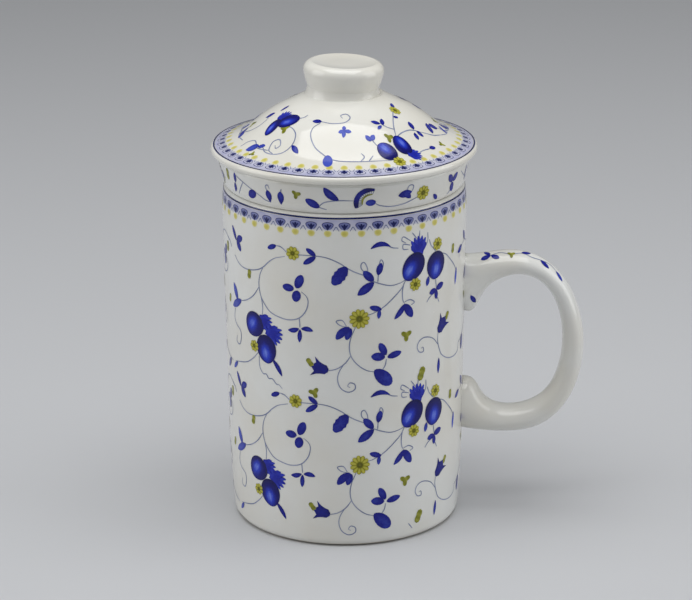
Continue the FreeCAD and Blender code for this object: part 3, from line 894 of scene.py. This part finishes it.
LID_LEAVES = [
    ((-17.6, -5.2), (-20.6, -6.2), 1.2, {}), ((-27.2, -18.9), (-31.6, -17.6), 3.2, {"tone": 0.75}),
    ((-27.6, -19.0), (-25.2, -20.6), 1.6, {"tone": 0.7}),
    ((-16.6, -25.6), (-14.6, -29.4), 1.6, {"tone": 0.55}),
    ((-7.0, -20.2), (-10.0, -19.0), 1.6, {}),
    ((-5.3, -32.2), (-5.1, -37.0), 3.2, {"blunt": 0.55, "tone": 0.95}),
    ((0.1, -24.6), (-1.8, -25.2), 1.4, {"tone": 0.9}), ((0.1, -24.6), (2.4, -25.0), 1.4, {"tone": 0.9}),
    ((0.1, -24.6), (0.0, -22.8), 1.3, {"tone": 0.9}), ((0.1, -24.6), (-0.2, -27.0), 1.3, {"tone": 0.9}),
    ((11.6, -19.9), (8.6, -19.8), 1.5, {}), ((12.4, -20.2), (12.0, -17.4), 1.5, {}),
    ((12.0, -20.4), (10.8, -22.4), 1.1, {"tone": 0.7}), ((8.6, -27.2), (6.8, -25.6), 1.6, {"tone": 0.85}),
    ((8.6, -27.0), (9.6, -24.8), 1.6, {"tone": 0.85}), ((15.9, -9.4), (15.4, -6.4), 1.4, {}),
    ((15.9, -14.6), (17.4, -13.6), 1.2, {}), ((22.4, -16.0), (20.8, -13.4), 1.9, {}),
    ((23.2, -15.9), (25.6, -16.4), 1.6, {}), ((22.6, -17.2), (23.8, -19.4), 1.6, {}),
    ((28.6, -11.4), (26.6, -7.6), 2.2, {}), ((27.4, -20.8), (29.2, -18.6), 1.6, {}),
    ((33.4, -4.0), (30.8, -1.6), 1.7, {"tone": 0.7}), ((32.6, 2.6), (34.2, 5.8), 1.8, {"tone": 0.6}),
    ((25.2, 4.6), (22.2, 5.6), 2.0, {}), ((-30.2, 5.0), (-27.4, 7.8), 2.2, {}),
    ((-34.0, -2.8), (-31.0, -1.0), 1.8, {}),
]
LID_PLUMS = [
    ((-14.2, -16.5), (-21.0, -13.4), 5.4, (0.6, 0.1)), ((-25.0, -16.0), (-20.8, -11.6), 4.4, (0.45, 0.1)),
    ((10.6, -28.0), (16.9, -30.6), 6.0, (0.35, 0.1)), ((16.0, -22.8), (21.1, -27.2), 5.6, (0.4, 0.1)),
]
LID_TUFTS = [((-21.2, -12.9), (-17.4, -9.6), 1.0), ((20.2, -27.4), (25.0, -26.4), 1.0)]
LID_DAISIES = [((17.6, -32.2), 2.1, 8), ((16.5, -10.3), 1.9, 8)]
LID_BUDS = [((-18.9, -17.8), 1.9, 0.2, 3), ((14.3, -24.1), 1.7, 0.7, 3), ((31.4, -14.9), 1.3, 0.1, 3),
            ((-29.4, -21.8), 1.2, 0.9, 3), ((29.6, 1.4), 1.4, 0.5, 3)]


def around_lid():
    """The sprays at the front, and the same turned by half a circle for the back."""
    marks = {"vine": [], "leaf": [], "tuft": [], "plum": [], "daisy": [], "bud": []}
    for ink, mark in draw_panel(LID_STEMS, LID_LEAVES, LID_PLUMS, LID_TUFTS, [], LID_DAISIES, LID_BUDS):
        marks[ink].append(mark)
        marks[ink].append({**mark, "flat": -mark["flat"]})
    return marks


print("marks on the lid:", {ink: len(made) for ink, made in around_lid().items()})

# %% [markdown]
# The inks. Cobalt bleeds a little into the glaze when it is fired, so no ink is one flat colour: it
# is paler where the film was thin, grained by the screen it was printed through, and it shines like
# the glaze that swallowed it. A second node group adds that grain, and each ink then maps the tone
# of the mark to its own run of colours.


# %% The grain of a fired transfer, as a node group
def make_transfer_grain():
    """Shade is the tone plus soft noise plus fine screen noise. Gloss is fine noise above a base."""
    group = bpy.data.node_groups.new("transfer_grain", "ShaderNodeTree")
    group_socket(group, "Place", "INPUT", "NodeSocketVector")
    group_socket(group, "Tone", "INPUT", value=0.5)
    group_socket(group, "Bleed", "INPUT", value=0.2)
    for name in ("Shade", "Gloss", "Height"):
        group_socket(group, name, "OUTPUT")
    inside = add_node(group, "NodeGroupInput", -5, 0)
    soft = noise(group, inside.outputs["Place"], 420.0, 2.0, -4, 1)
    screen = noise(group, inside.outputs["Place"], 2400.0, 1.0, -4, -1)
    middle = math_node(group, "SUBTRACT", soft.outputs["Fac"], 0.5, -3, 1)
    bled = math_node(group, "MULTIPLY", middle, inside.outputs["Bleed"], -2, 1)
    grain = math_node(group, "MULTIPLY_ADD", screen.outputs["Fac"], 0.16, -3, -1)
    grain.node.inputs[2].default_value = -0.08
    toned = math_node(group, "ADD", inside.outputs["Tone"], bled, -1, 0)
    out = add_node(group, "NodeGroupOutput", 2, 0)
    group.links.new(math_node(group, "ADD", toned, grain, 0, 0, True), out.inputs["Shade"])
    shine = math_node(group, "MULTIPLY_ADD", screen.outputs["Fac"], 0.10, -1, -2)
    shine.node.inputs[2].default_value = 0.09
    group.links.new(shine, out.inputs["Gloss"])
    group.links.new(screen.outputs["Fac"], out.inputs["Height"])
    return group


transfer_grain = make_transfer_grain()


def make_ink(name, shades, bleed):
    """One fired ink: the mark's tone, grained, runs through the shades from dark to light."""
    ink = bpy.data.materials.new(name)
    ink.use_nodes = True
    tree = ink.node_tree
    skin = tree.nodes["Principled BSDF"]
    skin.inputs["IOR"].default_value = GLAZE_IOR
    skin.inputs["Specular IOR Level"].default_value = 0.3
    place = add_node(tree, "ShaderNodeTexCoord", -5, 0).outputs["Object"]
    tone = add_node(tree, "ShaderNodeAttribute", -5, 1, attribute_name="tone")
    grain = add_node(tree, "ShaderNodeGroup", -3, 0, node_tree=transfer_grain)
    tree.links.new(place, grain.inputs["Place"])
    tree.links.new(tone.outputs["Fac"], grain.inputs["Tone"])
    grain.inputs["Bleed"].default_value = bleed
    ramp = add_node(tree, "ShaderNodeValToRGB", -2, 1).color_ramp
    for _ in range(len(shades) - 2):
        ramp.elements.new(0.5)
    for stop, (at, colour) in zip(ramp.elements, shades):
        stop.position = at
        stop.color = screen_colour(*colour)
    tree.links.new(grain.outputs["Shade"], tree.nodes["Color Ramp"].inputs["Fac"])
    tree.links.new(tree.nodes["Color Ramp"].outputs["Color"], skin.inputs["Base Color"])
    tree.links.new(grain.outputs["Gloss"], skin.inputs["Roughness"])
    dent(tree, grain.outputs["Height"], 0.2, 0.00002, -1)
    return ink


INKS = {
    "plum": make_ink("cobalt_plum_ink", [(0.0, (4, 4, 72)), (0.3, (8, 10, 118)), (0.62, (34, 58, 198)),
                                         (1.0, (124, 148, 240))], 0.10),
    "tuft": make_ink("cobalt_tuft_ink", [(0.0, (8, 10, 110)), (0.5, (22, 34, 166)), (1.0, (60, 78, 206))],
                     0.2),
    "leaf": make_ink("cobalt_leaf_ink", [(0.0, (6, 6, 88)), (0.5, (15, 24, 142)), (1.0, (68, 88, 198))], 0.3),
    "vine": make_ink("slate_line_ink", [(0.0, (104, 116, 152)), (0.5, (134, 144, 176)),
                                        (1.0, (170, 176, 200))], 0.5),
    "daisy": make_ink("straw_flower_ink", [(0.0, (86, 86, 4)), (0.35, (140, 138, 18)), (1.0, (204, 198, 82))],
                      0.2),
    "bud": make_ink("olive_bud_ink", [(0.0, (110, 116, 24)), (0.5, (146, 148, 48)), (1.0, (188, 186, 98))],
                    0.3),
    "line": make_ink("navy_line_ink", [(0.0, (14, 18, 72)), (1.0, (46, 56, 122))], 0.3),
    "fan": make_ink("violet_fan_ink", [(0.0, (70, 78, 142)), (1.0, (136, 142, 192))], 0.3),
    "wash": make_ink("violet_wash_ink", [(0.0, (172, 174, 210)), (1.0, (214, 214, 226))], 0.5),
    "drop": make_ink("yellow_drop_ink", [(0.0, (202, 192, 84)), (1.0, (236, 230, 170))], 0.3),
}
print("inks:", ", ".join(sorted(ink.name for ink in INKS.values())))

# %% [markdown]
# Now the marks become pieces. All marks of one ink on one part are joined into one mesh, laid on
# their wall, and given their tone as a point attribute. Inks that cross are laid at slightly
# different heights, a few hundredths of a millimetre apart, in the order in which they were
# printed, so that a flower always covers its stem.

# %% Joining marks into pieces
FILL_RISE = 0.015
LIFTS = {"wash": 0.025, "fan": 0.040, "vine": 0.045, "line": 0.060, "drop": 0.055, "bud": 0.060,
         "leaf": 0.065, "tuft": 0.075, "plum": 0.085, "daisy": 0.095}


def lay(name, marks, ink, lay_on, body):
    """Joins marks: each one's face numbers are moved on by the points before it, all flat places
    are laid at once, and the middle of each fill stands FILL_RISE higher than its edge."""
    counts = [len(mark["flat"]) for mark in marks]
    before = np.concatenate([[0], np.cumsum(counts)[:-1]])
    flat = np.vstack([mark["flat"] for mark in marks])
    lift = LIFTS[ink] + FILL_RISE * np.concatenate([mark["raise"] for mark in marks])
    places = lay_on(flat, lift) * MM
    fours = np.vstack([mark["fours"] + start for mark, start in zip(marks, before)])
    threes = np.vstack([mark["threes"] + start for mark, start in zip(marks, before)])
    mesh = bpy.data.meshes.new(name)
    mesh.from_pydata(places.tolist(), [], threes.tolist() + fours.tolist())
    tone = mesh.attributes.new("tone", "FLOAT", "POINT")
    tone.data.foreach_set("value", np.concatenate([mark["tone"] for mark in marks]).astype(np.float32))
    mesh.shade_smooth()
    mesh.materials.append(INKS[ink])
    piece = bpy.data.objects.new(name, mesh)
    bpy.context.scene.collection.objects.link(piece)
    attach(piece, body)
    return len(mesh.polygons)


def lay_all(prefix, marks, lay_on, body):
    """One piece for each ink that has marks."""
    sizes = {}
    for ink, drawn in marks.items():
        if drawn:
            sizes[ink] = lay(prefix + "_" + ink, drawn, ink, lay_on, body)
    print(prefix, "faces by ink:", sizes)


def on_mug(flat, lift):
    """Flat places on the mug's measured wall."""
    return on_wall(MUG_WALL, flat, lift)


def on_collar(flat, lift):
    """Flat places on the infuser's measured collar."""
    return on_wall(COLLAR_WALL, flat, lift)


def on_lid(flat, lift):
    """Flat places on the lid's measured dome."""
    return on_dome(LID_DOME, flat, lift)


STRIP_LENGTH = 2 * math.pi * ROUND
MUG_BORDER_TOP = 113.1
MUG_REPEATS = 47
LID_REPEATS = 51
LID_BORDER_R = 42.6
lay_all("mug_print", around_mug(), on_mug, "mug")
lay_all("mug_border", border(MUG_REPEATS, MUG_BORDER_TOP, STRIP_LENGTH), on_mug, "mug")
lay_all("collar_print", around_collar(), on_collar, "infuser")
lay_all("lid_print", around_lid(), on_lid, "lid")


def bent_to_brim(flat, lift):
    """Turns the straight border into a ring: x becomes an angle and y a distance from the middle."""
    angle = -flat[:, 0] / ROUND
    radius = LID_BORDER_R + flat[:, 1]
    plan = np.column_stack([radius * np.sin(angle), -radius * np.cos(angle)])
    return on_lid(plan, lift)


lay_all("lid_border", border(LID_REPEATS, 0.0, STRIP_LENGTH), bent_to_brim, "lid")

# %% [markdown]
# The handle has a small sprig of its own on its upper side, cut from the same sheet and pressed
# round the bend while it was wet. The handle is no turning, so its marks cannot be laid by radius.
# They are drawn flat above it and each point is dropped until it meets the glaze.

# %% The sprig on the handle
HANDLE_STEMS = [[(48.2, -2.6), (51.4, -1.7), (55.0, -2.9), (58.6, -1.8), (61.8, -2.8), (64.8, -2.4),
                 (67.8, -1.7), (70.0, -2.6)]]
HANDLE_LEAVES = [((48.2, -2.6), (44.9, -3.9), 1.8, {}), ((48.0, -2.5), (46.2, 0.2), 1.6, {}),
                 ((48.3, -2.7), (51.0, -4.2), 1.7, {}), ((58.4, -1.9), (61.6, -0.2), 1.8, {}),
                 ((64.6, -2.5), (67.4, -3.9), 1.8, {}), ((69.8, -2.6), (71.9, -3.8), 1.5, {"tone": 0.7})]
HANDLE_BUDS = [((55.0, -2.9), 1.5, 0.5, 3)]
ROOT_LEAVES = [((43.2, 73.4), (41.5, 76.6), 1.5, {})]


def around_handle(stems, leaves, buds):
    """The sprig on one side of the handle, by ink."""
    marks = {"vine": [], "leaf": [], "bud": []}
    for ink, mark in draw_panel(stems, leaves, [], [], [], [], buds):
        marks[ink].append(mark)
    return marks


corners, _ = triangles_of("mug_handle")
HANDLE = BVHTree.FromPolygons(corners.reshape(-1, 3).tolist(),
                              np.arange(len(corners) * 3).reshape(-1, 3).tolist())
ABOVE = 130.0
BEFORE = -60.0
CLEAR = 0.03


def dropped(places, way, lift):
    """Each place moves along one direction until it meets the handle, then off it by its lift and
    CLEAR along the normal, because the bend is steeper than a turned wall."""
    met = [HANDLE.ray_cast(place, way)[:2] for place in places.tolist()]
    normals = np.array([normal for _, normal in met])
    return np.array([hit for hit, _ in met]) + (lift[:, None] + CLEAR) * normals


def onto_top(flat, lift):
    """Flat x and y are the plan, dropped from above."""
    return dropped(np.column_stack([flat, np.full(len(flat), ABOVE)]), (0, 0, -1), lift)


def onto_front(flat, lift):
    """Flat x and y are across and height, pushed in from the front."""
    return dropped(np.column_stack([flat[:, 0], np.full(len(flat), BEFORE), flat[:, 1]]), (0, 1, 0), lift)


lay_all("handle_print", around_handle(HANDLE_STEMS, HANDLE_LEAVES, HANDLE_BUDS), onto_top,
        "mug")
lay_all("root_print", around_handle([], ROOT_LEAVES, []), onto_front, "mug")
